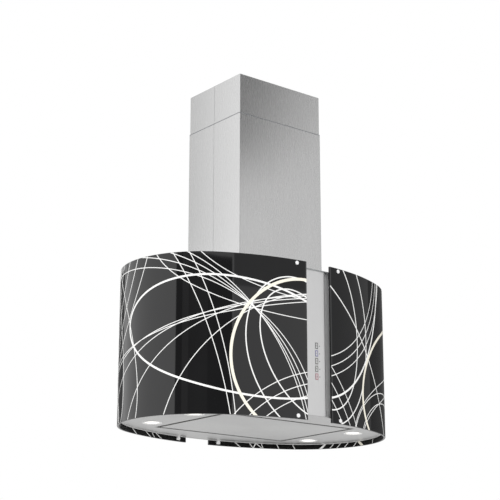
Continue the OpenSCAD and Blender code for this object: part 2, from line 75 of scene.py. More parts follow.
# Each card: azimuth from and to, elevation from and to, in degrees, and brightness.
STUDIO_CARDS = [
    (0, 360, -40, -3, 0.66),
    (66, 100, -3, 17, 0.16),
    (106, 195, -3, 34, 1.25),
    (196, 204, -3, 17, 0.12),
    (204, 212, -3, 17, 0.26),
    (212, 236, -3, 17, 0.16),
    (236, 257, -3, 17, 0.10),
    (258, 300, -3, 15, 0.80),
    (258, 300, 15, 34, 0.40),
    (318, 352, -3, 34, 0.33),
    (352, 411, -3, 17, 0.14),
]
# Each flag is an upright sheet that the flue reflects: the x and y of its two ends, how far its
# upper edge leans along it, its lowest and highest z, and its brightness.
FLAGS = [
    ((0.30, -1.36), (0.86, -1.36), 0.50, 0.24, 1.3, 0.08),
    ((-0.75, 0.80), (-0.75, 1.60), 0.0, -0.25, 0.80, 0.60),
]


def place_camera():
    data = bpy.data.cameras.new("camera")
    data.lens = CAMERA_LENS
    data.shift_y = CAMERA_SHIFT
    camera = bpy.data.objects.new("camera", data)
    camera.location = CAMERA_PLACE
    camera.rotation_euler = (math.radians(90 + CAMERA_PITCH), 0, math.radians(-CAMERA_YAW))
    bpy.context.collection.objects.link(camera)
    bpy.context.scene.camera = camera


def place_light():
    """A broad soft light from the camera's side. The cards and the world make the reflections."""
    data = bpy.data.lights.new("soft_key", "SUN")
    data.energy = LIGHT_STRENGTH
    data.angle = math.radians(LIGHT_SPREAD)
    light = bpy.data.objects.new("soft_key", data)
    light.rotation_euler = (math.radians(LIGHT_TILT), 0, math.radians(LIGHT_TURN))
    light.visible_glossy = False
    bpy.context.collection.objects.link(light)


def place_world():
    """An even white world."""
    world = bpy.data.worlds.new("studio")
    world.use_nodes = True
    background = world.node_tree.nodes["Background"]
    background.inputs["Color"].default_value = (1, 1, 1, 1)
    background.inputs["Strength"].default_value = WORLD_STRENGTH
    bpy.context.scene.world = world
    bpy.context.scene.view_settings.view_transform = "Standard"


# ---------- mesh helpers ----------


def finish_mesh(name, bm, materials, smooth=True):
    """Turns bm into a piece of that name."""
    bmesh.ops.recalc_face_normals(bm, faces=bm.faces)
    mesh = bpy.data.meshes.new(name)
    bm.to_mesh(mesh)
    bm.free()
    for polygon in mesh.polygons:
        polygon.use_smooth = smooth
    for material in materials:
        mesh.materials.append(material)
    piece = bpy.data.objects.new(name, mesh)
    bpy.context.collection.objects.link(piece)
    return piece


def soften(piece, width, segments, angle):
    """Rounds a piece's edges where its faces meet at more than that angle."""
    bevel = piece.modifiers.new("soft_edges", "BEVEL")
    bevel.width = width
    bevel.segments = segments
    bevel.limit_method = "ANGLE"
    bevel.angle_limit = math.radians(angle)
    piece.modifiers.new("even_normals", "WEIGHTED_NORMAL")


def skin(bm, rings, material=0, closed=False, side_materials=None):
    """Joins rings of points into a solid, with a cap on each end unless the rings are closed on
    themselves. side_materials gives each side of the rings its own material."""
    rows = [[bm.verts.new(point) for point in ring] for ring in rings]
    count = len(rows[0])
    paints = side_materials or [material] * count
    for a, b in zip(rows, rows[1:] + rows[:1] if closed else rows[1:]):
        for k, paint in enumerate(paints):
            after = (k + 1) % count
            bm.faces.new((a[k], b[k], b[after], a[after])).material_index = paint
    if not closed:
        bm.faces.new(rows[0][::-1]).material_index = material
        bm.faces.new(rows[-1]).material_index = material


def pour(source, bm):
    """Adds the faces of one bmesh to another, and frees the first."""
    mesh = bpy.data.meshes.new("poured")
    source.to_mesh(mesh)
    source.free()
    bm.from_mesh(mesh)
    bpy.data.meshes.remove(mesh)


# A strip's underside is sunk this far into the face that it lies on.
STRIP_SUNK = 0.04 * MM


def strip(bm, line, width, lift, material, closed=False):
    """A thin raised strip along a flat line. Its height is the third coordinate."""
    rings = []
    count = len(line)
    for k, point in enumerate(line):
        ahead = line[(k + 1) % count] if closed else line[min(k + 1, count - 1)]
        behind = line[k - 1] if closed or k else line[0]
        across = (ahead - behind).normalized().orthogonal() * width / 2
        left, right = point + across, point - across
        rings.append([(*left, -STRIP_SUNK), (*right, -STRIP_SUNK), (*right, lift), (*left, lift)])
    skin(bm, rings, material, closed)


# ---------- shader helpers ----------

# Noise keeps mostly between these two values, so tones and roughness are spread between them.
NOISE_LOW, NOISE_HIGH = 0.3, 0.7


def add(tree, kind, props=(), inputs=()):
    """Adds a shader node. An input may be a value or another node's output socket."""
    made = tree.nodes.new("ShaderNode" + kind)
    for key, value in dict(props).items():
        setattr(made, key, value)
    for key, value in dict(inputs).items():
        if isinstance(value, bpy.types.NodeSocket):
            tree.links.new(value, made.inputs[key])
        else:
            made.inputs[key].default_value = value
    return made


def maths(tree, operation, *values):
    """The result of an operation on values, each a number or another node's output socket."""
    return add(tree, "Math", {"operation": operation}, enumerate(values)).outputs[0]


def stretched_noise(tree, scale, detail=4, rough=0.55):
    """Noise in the object's own frame, scaled by a number for each axis."""
    place = add(tree, "TexCoord")
    mapping = add(tree, "Mapping", {}, {"Vector": place.outputs["Object"], "Scale": scale})
    noise = add(tree, "TexNoise", {}, {"Vector": mapping.outputs["Vector"], "Scale": 1.0,
                                       "Detail": detail, "Roughness": rough})
    return noise.outputs["Fac"]


def remap(tree, value, low, high, start=NOISE_LOW, end=NOISE_HIGH):
    """Maps start..end to low..high."""
    return add(tree, "MapRange", {}, {"Value": value, "From Min": start, "From Max": end,
                                      "To Min": low, "To Max": high}).outputs["Result"]


def tones(tree, value, dark, light):
    """A colour between dark and light, by a noise value."""
    ramp = add(tree, "ValToRGB", {}, {"Fac": value})
    for element, place, colour in zip(ramp.color_ramp.elements, (NOISE_LOW, NOISE_HIGH), (dark, light)):
        element.position = place
        element.color = (*colour, 1)
    return ramp.outputs["Color"]


def relief(tree, height, strength, depth):
    """A bump of that depth in millimetres, which becomes the shader's normal."""
    bump = add(tree, "Bump", {}, {"Strength": strength, "Distance": depth * MM, "Height": height})
    tree.links.new(bump.outputs["Normal"], tree.nodes["Principled BSDF"].inputs["Normal"])


def shade(colour, factor):
    """A colour made darker or lighter."""
    return tuple(min(1.0, channel * factor) for channel in colour)


# ---------- materials ----------

# The surface's tone follows its grain and broader clouds, in these shares.
GRAIN_SHARE, CLOUD_SHARE = 0.6, 0.4
CLOUD_SCALE = (7, 7, 7)


def surface(name, colour, roughness, metallic, grain, contrast, swing=0.06, bump=0.15, depth=0.05,
            fine=1.0, sockets=()):
    """The base of every material. Its tone varies by contrast and its roughness by swing, with a grain
    scaled for each axis. Its bump is depth millimetres deep, and its noise is fine times finer than the
    grain. sockets holds further values for the shader."""
    material = bpy.data.materials.new(name)
    material.use_nodes = True
    tree = material.node_tree
    shader = tree.nodes["Principled BSDF"]
    streaks = stretched_noise(tree, grain)
    clouds = stretched_noise(tree, CLOUD_SCALE, detail=3)
    mixed = maths(tree, "ADD", maths(tree, "MULTIPLY", streaks, GRAIN_SHARE),
                  maths(tree, "MULTIPLY", clouds, CLOUD_SHARE))
    tree.links.new(tones(tree, mixed, shade(colour, 1 - contrast), shade(colour, 1 + contrast)),
                   shader.inputs["Base Color"])
    tree.links.new(remap(tree, mixed, roughness + swing, roughness - swing), shader.inputs["Roughness"])
    texture = stretched_noise(tree, tuple(axis * fine for axis in grain), detail=6, rough=0.6)
    relief(tree, texture, bump, depth)
    shader.inputs["Metallic"].default_value = metallic
    for key, value in dict(sockets).items():
        shader.inputs[key].default_value = value
    return material


# The axes that a brushed grain can run along, and its scale across the strokes and along them.
X, Y, Z = 0, 1, 2
ACROSS_STROKES, ALONG_STROKES = 900, 9


def brushed(name, colour, along, roughness, contrast=0.012, bump=0.026):
    """Brushed stainless steel, its grain along one axis."""
    grain = [ACROSS_STROKES] * 3
    grain[along] = ALONG_STROKES
    return surface(name, colour, roughness, metallic=1.0, grain=tuple(grain), contrast=contrast,
                   swing=0.025, bump=bump, depth=0.02, fine=1.7, sockets={"Anisotropic": 0.45})


SPANGLE_SCALE = 240


def galvanised(name, colour):
    """Zinc-coated sheet, with its crystal spangle."""
    material = surface(name, colour, 0.42, metallic=1.0, grain=(25, 25, 25), contrast=0.05,
                       swing=0.08, bump=0.1, depth=0.04, fine=8)
    tree = material.node_tree
    place = add(tree, "TexCoord")
    spangle = add(tree, "TexVoronoi", {"feature": "F1"},
                  {"Vector": place.outputs["Object"], "Scale": SPANGLE_SCALE})
    cells = add(tree, "SeparateColor", {}, {"Color": spangle.outputs["Color"]}).outputs["Red"]
    tree.links.new(tones(tree, cells, shade(colour, 0.93), shade(colour, 1.06)),
                   tree.nodes["Principled BSDF"].inputs["Base Color"])
    return material


def moulded(name, colour, roughness=0.5):
    """Moulded plastic with a fine spark-eroded texture."""
    return surface(name, colour, roughness, metallic=0.0, grain=(60, 60, 60), contrast=0.12,
                   bump=0.35, fine=25)


def black_glass(name):
    """Toughened glass, opaque black behind, with a faint wipe haze."""
    return surface(name, (0.006, 0.006, 0.0065), 0.035, metallic=0.0, grain=(12, 12, 3), contrast=0.25,
                   swing=0.012, bump=0.02, depth=0.02, fine=3,
                   sockets={"IOR": 1.52, "Coat Weight": 0.15, "Coat Roughness": 0.02})


def back_paint(name):
    """The dull black paint on the back of the glass."""
    return surface(name, (0.004, 0.004, 0.004), 0.45, metallic=0.0, grain=(50, 50, 50), contrast=0.2,
                   swing=0.05, bump=0.1, depth=0.02, fine=8, sockets={"Specular IOR Level": 0.12})


def enamel(name, colour):
    """Screen-printed ceramic ink, fired on the glass."""
    return surface(name, colour, 0.30, metallic=0.0, grain=(160, 160, 160), contrast=0.02,
                   swing=0.05, depth=0.02, fine=9)


PLATES_SCALE = 250


def laminated(name, colour):
    """A stack of thin plates along X, with varnish between them."""
    material = surface(name, colour, 0.38, metallic=1.0, grain=(30, 30, 30), contrast=0.08)
    tree = material.node_tree
    place = add(tree, "TexCoord")
    plates = add(tree, "TexWave", {"bands_direction": "X"},
                 {"Vector": place.outputs["Object"], "Scale": PLATES_SCALE})
    relief(tree, plates.outputs["Fac"], strength=0.6, depth=0.2)
    return material


TRACKS_SCALE = 90
TRACK_WIDTH = 0.06


def circuit_board(name, colour):
    """Solder mask over copper tracks."""
    material = surface(name, colour, 0.35, metallic=0.0, grain=(30, 30, 30), contrast=0.1)
    tree = material.node_tree
    place = add(tree, "TexCoord")
    upright = (math.pi / 2, 0, math.pi / 2)
    turned = add(tree, "Mapping", {}, {"Vector": place.outputs["Object"], "Rotation": upright})
    tracks = add(tree, "TexBrick", {}, {"Vector": turned.outputs["Vector"], "Scale": TRACKS_SCALE,
                                        "Mortar Size": TRACK_WIDTH, "Color1": (*colour, 1),
                                        "Color2": (*shade(colour, 0.8), 1),
                                        "Mortar": (*shade(colour, 2.2), 1)})
    tree.links.new(tracks.outputs["Color"], tree.nodes["Principled BSDF"].inputs["Base Color"])
    return material


LENS_RADIUS = 24.5 * MM
# The rings on a lens are a sine wave over its radius, which turns by this many radians a metre.
LENS_RING_ANGLE = 2600
GLOW_STRENGTH = 1.6
GLOW_COLOUR = (1.0, 0.965, 0.90, 1)
# The glow is full up to the first radius and gone from the second one on.
GLOW_FULL, GLOW_GONE = 11 * MM, 24 * MM


def lit_lens(name):
    """A frosted lamp lens, lit from behind, with moulded rings round each lamp's centre. The lamps
    mirror each other in X and Y, so the absolute place folds all of them onto one."""
    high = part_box("lamp_lenses")[1]
    centre = (high.x - LENS_RADIUS, high.y - LENS_RADIUS, 0)
    material = surface(name, (0.60, 0.60, 0.58), 0.35, metallic=0.0, grain=(60, 60, 60), contrast=0.03)
    tree = material.node_tree
    shader = tree.nodes["Principled BSDF"]
    place = add(tree, "TexCoord")
    folded = add(tree, "VectorMath", {"operation": "ABSOLUTE"}, {0: place.outputs["Object"]})
    flat = add(tree, "VectorMath", {"operation": "MULTIPLY"}, {0: folded.outputs[0], 1: (1, 1, 0)})
    away = add(tree, "VectorMath", {"operation": "DISTANCE"}, {0: flat.outputs[0], 1: centre})
    radius = away.outputs["Value"]
    rings = maths(tree, "SINE", maths(tree, "MULTIPLY", radius, LENS_RING_ANGLE))
    relief(tree, rings, strength=0.5, depth=0.2)
    tree.links.new(remap(tree, radius, GLOW_STRENGTH, 0.0, GLOW_FULL, GLOW_GONE),
                   shader.inputs["Emission Strength"])
    shader.inputs["Emission Color"].default_value = GLOW_COLOUR
    return material


def matt_paint(name, colour):
    """A plain studio surface."""
    material = bpy.data.materials.new(name)
    material.use_nodes = True
    shader = material.node_tree.nodes["Principled BSDF"]
    shader.inputs["Base Color"].default_value = (*colour, 1)
    shader.inputs["Roughness"].default_value = 0.9
    return material


def glowing_paint(name, strength):
    """A studio surface that glows white with that strength and reflects nothing."""
    material = matt_paint(name, (0, 0, 0))
    shader = material.node_tree.nodes["Principled BSDF"]
    shader.inputs["Specular IOR Level"].default_value = 0.0
    shader.inputs["Emission Color"].default_value = (1, 1, 1, 1)
    shader.inputs["Emission Strength"].default_value = strength
    return material


# Each look, by the name of its material slot.
LOOKS = {
    "brushed_tray": brushed("brushed_tray", (0.62, 0.62, 0.615), X, 0.42, contrast=0.035, bump=0.09),
    "brushed_flue": brushed("brushed_flue", (0.62, 0.62, 0.62), Z, 0.27, contrast=0.009, bump=0.020),
    "brushed_pillar": brushed("brushed_pillar", (0.74, 0.74, 0.74), Z, 0.30),
    "galvanised": galvanised("galvanised", (0.58, 0.595, 0.60)),
    "channel_grey": surface("channel_grey", (0.80, 0.80, 0.80), 0.42, metallic=0.25, grain=(60, 60, 60),
                            contrast=0.05, swing=0.05, bump=0.2, depth=0.02, fine=8),
    "zinc_steel": surface("zinc_steel", (0.60, 0.60, 0.58), 0.28, metallic=1.0, grain=(50, 50, 50),
                          contrast=0.06, swing=0.08, bump=0.1, depth=0.03, fine=6),
    "black_glass": black_glass("black_glass"),
    "polished_cap": surface("polished_cap", (0.98, 0.98, 0.98), 0.25, metallic=0.25, grain=(90, 90, 90),
                            contrast=0.03, swing=0.03, bump=0.05, depth=0.01, fine=4),
    "key_steel": brushed("key_steel", (0.70, 0.70, 0.70), X, 0.30),
    "lamp_glass": lit_lens("lamp_glass"),
    "lamp_black": surface("lamp_black", (0.03, 0.03, 0.032), 0.42, metallic=0.3, grain=(80, 80, 80),
                          contrast=0.1, bump=0.2, depth=0.02, fine=8),
    "filter_metal": brushed("filter_metal", (0.72, 0.73, 0.74), Y, 0.24),
    "filter_mesh": surface("filter_mesh", (0.62, 0.63, 0.64), 0.36, metallic=1.0, grain=(200, 200, 200),
                           contrast=0.12, swing=0.1, bump=0.2, depth=0.03, fine=3),
    "black_plastic": moulded("black_plastic", (0.018, 0.018, 0.020), 0.46),
    "grey_plastic": moulded("grey_plastic", (0.14, 0.145, 0.155)),
    "fan_wheel": galvanised("fan_wheel", (0.46, 0.47, 0.48)),
    "motor_metal": surface("motor_metal", (0.10, 0.105, 0.11), 0.5, metallic=0.2, grain=(70, 70, 70),
                           contrast=0.1, swing=0.08, bump=0.4, depth=0.15, fine=6),
    "copper_stack": laminated("copper_stack", (0.60, 0.27, 0.11)),
    "ground_steel": surface("ground_steel", (0.58, 0.58, 0.58), 0.2, metallic=1.0, grain=(30, 900, 900),
                            contrast=0.05, bump=0.2, depth=0.02),
    "rubber_black": moulded("rubber_black", (0.012, 0.012, 0.012), 0.75),
    "board_green": circuit_board("board_green", (0.010, 0.085, 0.030)),
    "led_window": surface("led_window", (0.035, 0.04, 0.045), 0.18, metallic=0.0, grain=(90, 90, 90),
                          contrast=0.1, swing=0.04, bump=0.05, depth=0.01, fine=4,
                          sockets={"Coat Weight": 0.5, "Coat Roughness": 0.05}),
    "bolt_black": surface("bolt_black", (0.045, 0.045, 0.05), 0.38, metallic=0.8, grain=(90, 90, 90),
                          contrast=0.15, swing=0.1, bump=0.2, depth=0.02, fine=5),
}
BACK_PAINT = back_paint("back_paint")
WHITE_ENAMEL = enamel("white_enamel", (0.93, 0.93, 0.915))
CREAM_ENAMEL = enamel("cream_enamel", (0.93, 0.89, 0.77))


# ---------- studio ----------


def place_floor():
    bm = bmesh.new()
    bmesh.ops.create_circle(bm, cap_ends=True, segments=FLOOR_SEGMENTS, radius=FLOOR_RADIUS)
    bmesh.ops.translate(bm, verts=bm.verts, vec=(0, 0, FLOOR_Z))
    floor = finish_mesh("floor", bm, [matt_paint("floor_paint", FLOOR_COLOUR)], smooth=False)


def hide_from_all_but_gloss(thing):
    """Only reflections show this studio surface."""
    thing.visible_camera = False
    thing.visible_diffuse = False
    thing.visible_shadow = False


def place_flag(number, start, end, lean, z_low, z_high, strength):
    """An upright sheet between two points of the floor plan. It shows only in reflections."""
    bm = bmesh.new()
    along = (Vector(end) - Vector(start)).normalized() * lean
    upper_start = Vector(start) + along
    upper_end = Vector(end) + along
    corners = [(*start, z_low), (*end, z_low), (*upper_end, z_high), (*upper_start, z_high)]
    bm.faces.new([bm.verts.new(corner) for corner in corners])
    cloth = glowing_paint(f"flag_cloth_{number}", strength)
    hide_from_all_but_gloss(finish_mesh(f"studio_flag_{number}", bm, [cloth], smooth=False))


def place_card(number, turn_from, turn_to, rise_from, rise_to, strength):
    """A curved studio card round the hood. It shows only in reflections."""
    bm = bmesh.new()
    rows = []
    for k in range(CARD_STEPS + 1):
        turn = math.radians(turn_from + (turn_to - turn_from) * k / CARD_STEPS)
        rows.append([bm.verts.new((CARD_RADIUS * math.cos(turn), CARD_RADIUS * math.sin(turn),
                                   CARD_CENTRE_Z + CARD_RADIUS * math.tan(math.radians(rise))))
                     for rise in (rise_from, rise_to)])
    for a, b in zip(rows, rows[1:]):
        bm.faces.new((a[0], b[0], b[1], a[1]))
    paint = glowing_paint(f"card_{number}", strength)
    hide_from_all_but_gloss(finish_mesh(f"studio_card_{number}", bm, [paint]))


place_camera()
place_light()
place_world()
place_floor()
for flag_number, flag in enumerate(FLAGS):
    place_flag(flag_number, *flag)
for card_number, card in enumerate(STUDIO_CARDS):
    place_card(card_number, *card)

# ---------- the oval ----------

# The oval is four arcs, as in the CAD: two end arcs, and two side arcs that meet them.
END_RADIUS = 0.240
HALF_DEPTH = 0.285
GLASS_T = 0.006
# The glass's outer face lies this far inside the CAD's, which leaves room for the enamel.
FACE_INSET = 0.25 * MM
glass_low, glass_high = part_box("right_glass")
HALF_WIDTH = glass_high.x
GLASS_H = glass_high.z - glass_low.z
END_X = HALF_WIDTH - END_RADIUS
BOW = HALF_DEPTH - END_RADIUS
SIDE_Y = (END_X ** 2 - BOW ** 2) / (2 * BOW)
SIDE_RADIUS = HALF_DEPTH + SIDE_Y
JOIN = math.atan2(SIDE_Y, END_X)
# Distances along the oval: over half a side arc, over an end arc, from the front centre to the rear
# centre, and from the front centre to the glass's edge.
SIDE_ARC = SIDE_RADIUS * (math.pi / 2 - JOIN)
END_ARC = 2 * END_RADIUS * JOIN
HALF_ROUND = 2 * SIDE_ARC + END_ARC
GAP_ARC = SIDE_RADIUS * math.asin(glass_low.x / SIDE_RADIUS)


def on_oval(side, along, height, inset):
    """A point near the glass, on side -1 or 1: its distance along the oval from the front centre, its
    height above the glass's lower edge, and how far it lies inside the outer face."""
    if along < SIDE_ARC:
        centre, radius, turn = (0, SIDE_Y), SIDE_RADIUS, along / SIDE_RADIUS - math.pi / 2
    elif along < SIDE_ARC + END_ARC:
        centre, radius, turn = (END_X, 0), END_RADIUS, (along - SIDE_ARC) / END_RADIUS - JOIN
    else:
        centre, radius, turn = (0, -SIDE_Y), SIDE_RADIUS, JOIN + (along - SIDE_ARC - END_ARC) / SIDE_RADIUS
    return Vector((side * (centre[0] + (radius - inset) * math.cos(turn)),
                   centre[1] + (radius - inset) * math.sin(turn), glass_low.z + height))


# ---------- lines printed on the glass ----------

# The lines' widths, in millimetres: thin, medium and thick are white.
THIN, MEDIUM, THICK, CREAM = 2.2, 3.4, 5.4, 8.2

# Each bundle: the number of lines, their width, and the two ellipses that they lie between. An ellipse
# is its centre's place along the glass from the front centre and up from its lower edge, its half
# length and half height, in millimetres, and its tilt in degrees.
LEFT_BUNDLES = [
    (5, THIN, (-40, -160, 520, 516, 0), (-200, 100, 1200, 263, -8)),
    (4, THIN, (620, -40, 610, 457, 0), (720, -160, 690, 685, 8)),
    (1, THICK, (235, 215, 355, 158, 8), None),
    (2, MEDIUM, (50, 180, 120, 190, -30), (50, 170, 170, 230, -24)),
    (3, THIN, (-60, -260, 420, 400, 12), (-60, -300, 380, 380, 12)),
    (2, THIN, (-120, 620, 640, 330, -10), (-140, 640, 560, 300, -10)),
    (2, THIN, (480, 60, 190, 520, -14), (500, 60, 230, 560, -10)),
    (1, CREAM, (50, 165, 222, 225, 32), None),
    (5, THIN, (900, 440, 210, 490, 24), (880, 420, 320, 520, 34)),
    (1, THICK, (1010, 210, 210, 150, -14), None),
    (4, THIN, (980, 10, 330, 230, 12), (960, 40, 250, 270, 4)),
    (2, THIN, (760, 260, 110, 300, -18), (740, 240, 150, 340, -24)),
    (1, CREAM, (1080, 330, 170, 260, 24), None),
]
RIGHT_BUNDLES = [
    (3, THIN, (-60, 500, 330, 330, 0), (-80, 510, 390, 400, 0)),
    (2, MEDIUM, (20, 270, 140, 235, 8), (10, 280, 200, 290, 8)),
    (3, THIN, (-700, -150, 900, 620, -6), (-720, -190, 880, 600, -6)),
    (1, THICK, (60, 420, 230, 360, -14), None),
    (1, MEDIUM, (-500, -330, 900, 900, 0), None),
    (2, THIN, (330, -40, 190, 160, 6), (330, -30, 150, 120, 6)),
    (5, THIN, (640, 440, 170, 490, 14), (640, 430, 260, 540, 20)),
    (2, THIN, (560, 30, 420, 180, 8), (560, 10, 380, 150, 8)),
    (1, CREAM, (420, 130, 240, 190, 24), None),
    (4, THIN, (900, 380, 230, 430, -18), (930, 400, 330, 480, -22)),
    (1, THICK, (960, 150, 300, 190, 14), None),
    (2, MEDIUM, (1060, 230, 150, 290, -10), (1080, 240, 220, 350, -6)),
]

# The spacing of a line's points, in millimetres, and how far past the panel its points are kept.
POINT_SPACING = 7
SPARE = 30 * MM
# The bare margin along the panel's edges.
PRINT_MARGIN = 0.9 * MM
# How far the enamel stands out. Each white line lies a little higher than the line before it, and the
# cream ones lie above them all, so that no two faces share a plane where lines cross.
LINE_LIFT = 0.10 * MM
LIFT_STEP = 0.003 * MM
CREAM_LIFT = 0.22 * MM


def orbit(along, height, half_length, half_height, tilt):
    """The points of an ellipse, in metres, from its size in millimetres and its tilt in degrees."""
    count = int(2 * math.pi * max(half_length, half_height) / POINT_SPACING)
    turned = Matrix.Rotation(math.radians(tilt), 2)
    points = []
    for k in range(count):
        turn = 2 * math.pi * k / count
        offset = turned @ Vector((half_length * math.cos(turn), half_height * math.sin(turn)))
        points.append((Vector((along, height)) + offset) * MM)
    return points


def runs_on_panel(points):
    """The stretches of a closed line that lie on or near a panel, each with whether it is closed."""
    near = [-SPARE < p.x < HALF_ROUND + SPARE and -SPARE < p.y < GLASS_H + SPARE for p in points]
    if all(near):
        return [(points, True)]
    first = near.index(False)
    runs = [[]]
    for point, is_near in zip(points[first:] + points[:first], near[first:] + near[:first]):
        if is_near:
            runs[-1].append(point)
        elif runs[-1]:
            runs.append([])
    return [(run, False) for run in runs if len(run) > 1]


def trim_to_panel(flat):
    """Cuts the flat lines at the panel's margins, and closes their cut ends."""
    first, last = GAP_ARC + PRINT_MARGIN, HALF_ROUND - GAP_ARC - PRINT_MARGIN
    bottom, top = PRINT_MARGIN, GLASS_H - PRINT_MARGIN
    for place, outwards in (((first, 0, 0), (-1, 0, 0)), ((last, 0, 0), (1, 0, 0)),
                            ((0, bottom, 0), (0, -1, 0)), ((0, top, 0), (0, 1, 0))):
        everything = flat.verts[:] + flat.edges[:] + flat.faces[:]
        cut = bmesh.ops.bisect_plane(flat, geom=everything, plane_co=place, plane_no=outwards,
                                     clear_outer=True)
        ends = [part for part in cut["geom_cut"] if isinstance(part, bmesh.types.BMEdge)]
        bmesh.ops.holes_fill(flat, edges=ends)


def printed_lines(bm, side, bundles, face):
    """Adds the printed curves to a panel's outer face, 0, or every second one to its inner face, 1."""
    flat = bmesh.new()
    lift = LINE_LIFT
    for count, width, first, last in bundles:
        for k in range(0, count, 1 + face):
            share = k / max(1, count - 1)
            ellipse = [a + (b - a) * share for a, b in zip(first, last or first)]
            top = CREAM_LIFT if width == CREAM else lift
            for line, closed in runs_on_panel(orbit(*ellipse)):
                strip(flat, line, width * MM, top, int(width == CREAM), closed)
            lift += LIFT_STEP
    trim_to_panel(flat)
    for vert in flat.verts:
        along, height, up = vert.co
        vert.co = on_oval(side, along, height, GLASS_T + up if face else FACE_INSET - up)
    pour(flat, bm)


# ---------- glass ----------

GLASS_EDGE = 0.8 * MM
GLASS_STEPS = 240


def glass_panel(name, side, bundles):
    """One curved panel with a painted back, and its printed lines as a second piece."""
    bm = bmesh.new()
    rings = []
    for k in range(GLASS_STEPS + 1):
        along = GAP_ARC + (HALF_ROUND - 2 * GAP_ARC) * k / GLASS_STEPS
        rings.append([on_oval(side, along, height, inset) for height, inset in
                      ((0, FACE_INSET), (GLASS_H, FACE_INSET), (GLASS_H, GLASS_T), (0, GLASS_T))])
    skin(bm, rings, side_materials=[0, 0, 1, 0])
    panel = finish_mesh(name + "_panel", bm, [LOOKS["black_glass"], BACK_PAINT])
    soften(panel, GLASS_EDGE, segments=3, angle=35)
    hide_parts(name)
    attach(panel, "root")
    lines = bmesh.new()
    for face in (0, 1):
        printed_lines(lines, side, bundles, face)
    prints = finish_mesh(name + "_lines", lines, [WHITE_ENAMEL, CREAM_ENAMEL], smooth=False)
    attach(prints, "root")


glass_panel("left_glass", -1, LEFT_BUNDLES)
glass_panel("right_glass", 1, RIGHT_BUNDLES)

# ---------- tray edge ----------

# The bead's section is half an ellipse: its distance from the glass's inner face, its width, its
# depth, and how far its ends are sunk into the tray.
BEAD_CLEARANCE = 2.3 * MM
BEAD_WIDTH = 6 * MM
BEAD_DEPTH = 1.8 * MM
BEAD_SUNK = 0.1 * MM
BEAD_ARC_STEPS = 8
BEAD_STEPS = 120


def bead_section(side, along, tray_z):
    """One ring of the bead, at that distance along the oval."""
    ring = []
    for k in range(BEAD_ARC_STEPS + 1):
        turn = math.pi * k / BEAD_ARC_STEPS
        inset = GLASS_T + BEAD_CLEARANCE + BEAD_WIDTH * (1 - math.cos(turn)) / 2
        point = on_oval(side, along, 0, inset)
        point.z = tray_z + BEAD_SUNK - BEAD_DEPTH * math.sin(turn)
        ring.append(point)
    return ring


def build_tray_rim():
    """The rolled edge of the tray: a low bead that runs round it, just inside the glass."""
    tray_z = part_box("suction_panel")[0].z
    bm = bmesh.new()
    # Along the right side from front to rear, and back along the left side.
    places = [(1, k) for k in range(BEAD_STEPS)] + [(-1, k) for k in range(BEAD_STEPS, 0, -1)]
    skin(bm, [bead_section(side, HALF_ROUND * k / BEAD_STEPS, tray_z) for side, k in places], closed=True)
    rim = finish_mesh("tray_rim", bm, [LOOKS["brushed_tray"]])
    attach(rim, "root")


build_tray_rim()

# ---------- keys ----------

# The colour of each key's outline.
KEY_TINTS = {
    "key_light": (0.02, 0.02, 0.022),
    "key_fan_down": (0.11, 0.09, 0.36),
    "key_fan_up": (0.05, 0.05, 0.03),
    "key_boost": (0.03, 0.05, 0.02),
    "key_timer": (0.46, 0.05, 0.11),
}
ICON_COLOUR = (0.05, 0.05, 0.055)

# The flange stands out this far round the cap, behind the pillar cover. The stem runs back from the cap.
KEY_FLANGE = 1 * MM
KEY_FLANGE_T = 0.9 * MM
KEY_CAP_DEPTH = 2.3 * MM
KEY_CORNER = 1.9 * MM
KEY_STEM_RADIUS = 2 * MM
# Each ring of a key's rounded front edge: inset, depth behind the face and corner radius, in millimetres.
KEY_FRONT = [(0.55, 0, 1.4), (0.25, 0.07, 1.6), (0.07, 0.25, 1.8), (0, 0.55, 1.9)]
# The tinted outline: how much less it measures than the cap, its corner radius and its width.
OUTLINE_LESS = 2.4 * MM
OUTLINE_CORNER = 1.5 * MM
OUTLINE_WIDTH = 1.4 * MM
ICON_WIDTH = 0.55 * MM
KEY_PRINT_LIFT = 0.05 * MM
CORNER_STEPS = 6
CIRCLE_STEPS = 24


def ring_points(width, height, radius):
    """The outline of a rectangle with round corners, anticlockwise, as flat points."""
    points = []
    for corner, (sx, sz) in enumerate(((1, 1), (-1, 1), (-1, -1), (1, -1))):
        for k in range(CORNER_STEPS + 1):
            turn = (corner + k / CORNER_STEPS) * math.pi / 2
            points.append(Vector((sx * (width / 2 - radius) + radius * math.cos(turn),
                                  sz * (height / 2 - radius) + radius * math.sin(turn))))
    return points


def circle_points(radius):
    """A circle, as flat points."""
    turns = [2 * math.pi * k / CIRCLE_STEPS for k in range(CIRCLE_STEPS)]
    return [Vector((radius * math.cos(turn), radius * math.sin(turn))) for turn in turns]


def bar(x0, z0, x1, z1):
    """A straight open stroke."""
    return [Vector((x0, z0)), Vector((x1, z1))], False


def loop(points):
    """A closed stroke."""
    return points, True


# Each icon's strokes, in millimetres from the key's centre.
ICONS = {
    "key_light": [loop(circle_points(1.5)), bar(-0.8, -2.3, 0.8, -2.3), bar(0, 2.2, 0, 3.2),
                  bar(-1.7, 1.7, -2.4, 2.4), bar(1.7, 1.7, 2.4, 2.4)],
    "key_fan_down": [bar(-2, 0, 2, 0)],
    "key_fan_up": [bar(-2, 0, 2, 0), bar(0, -2, 0, 2)],
    "key_boost": [bar(-2, -1.6, 0, 0.2), bar(0, 0.2, 2, -1.6), bar(-2, 0.4, 0, 2.2), bar(0, 2.2, 2, 0.4)],
    "key_timer": [loop(circle_points(2.2)), bar(0, 0, 0, 1.5), bar(0, 0, 1.1, -0.5)],
}


